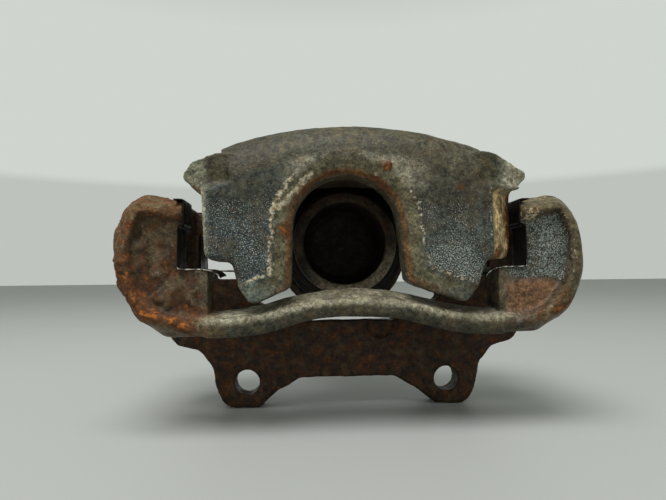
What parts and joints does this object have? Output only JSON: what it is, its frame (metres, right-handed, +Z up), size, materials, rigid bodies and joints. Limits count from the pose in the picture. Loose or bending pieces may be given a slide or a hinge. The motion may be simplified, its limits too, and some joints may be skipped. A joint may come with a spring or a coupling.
{
  "type": "floating disc brake caliper",
  "caption": "Floating single-piston front disc brake caliper with wavy tie-bar carrier, fingered sliding housing, guide pins, boots and pad clips; worn and rusty, without pads.",
  "frame": {"origin": "midpoint between the two knuckle bolt holes on the carrier's mounting face", "axes": "+X to the right seen from outboard, +Y inboard along the wheel axis and the bolts, +Z up, away from the wheel axis"},
  "size_m": [0.206, 0.145, 0.1445],
  "materials": {
    "housing_iron": "weathered cast iron, speckled grey face, brown streaked top",
    "carrier_iron": "rusty cast iron with worn olive-grey tie bar",
    "piston_steel": "dark, rusty rim",
    "seal_rubber": "satin",
    "boot_rubber": "matt, dusty",
    "pin_steel": "dull plated steel",
    "bolt_steel": "plated steel with rust",
    "clip_steel": "blackened spring steel"
  },
  "bodies": {
    "carrier": {"carrier": "carrier_iron", "pad_clip_outboard_left": "clip_steel", "pad_clip_outboard_right": "clip_steel", "pad_clip_inboard_left": "clip_steel", "pad_clip_inboard_right": "clip_steel"},
    "housing": {"caliper_housing": "housing_iron", "piston_seal": "seal_rubber", "piston_dust_boot": "boot_rubber", "dust_boot_ring": "pin_steel", "guide_pin_left": "pin_steel", "guide_pin_right": "pin_steel", "guide_pin_bushing": "seal_rubber", "guide_bolt_left": "bolt_steel", "guide_bolt_right": "bolt_steel", "guide_pin_boot_left": "boot_rubber", "guide_pin_boot_right": "boot_rubber"},
    "piston": {"piston": "piston_steel"},
    "bleeder": {"bleed_screw": "bolt_steel"},
    "bleeder_cap": {"bleed_screw_cap": "boot_rubber"}
  },
  "joints": [
    {"name": "housing_slide", "type": "slide", "parent": "carrier", "child": "housing", "axis": [0, 1, 0], "range_m": [-0.0115, 0.005], "deforming": ["guide_pin_boot_left", "guide_pin_boot_right"]},
    {"name": "piston_slide", "type": "slide", "parent": "housing", "child": "piston", "axis": [0, 1, 0], "range_m": [-0.003, 0.0215], "deforming": ["piston_dust_boot"]},
    {"name": "bleed_screw_turn", "type": "hinge", "parent": "housing", "child": "bleeder", "pos_m": [-0.0005, 0.062, 0.116], "axis": [0, 0, 1], "range_deg": [0, 360]},
    {"name": "bleeder_cap_pull", "type": "slide", "parent": "bleeder", "child": "bleeder_cap", "axis": [0, 0, 1], "range_m": [0, 0.012]}
  ]
}
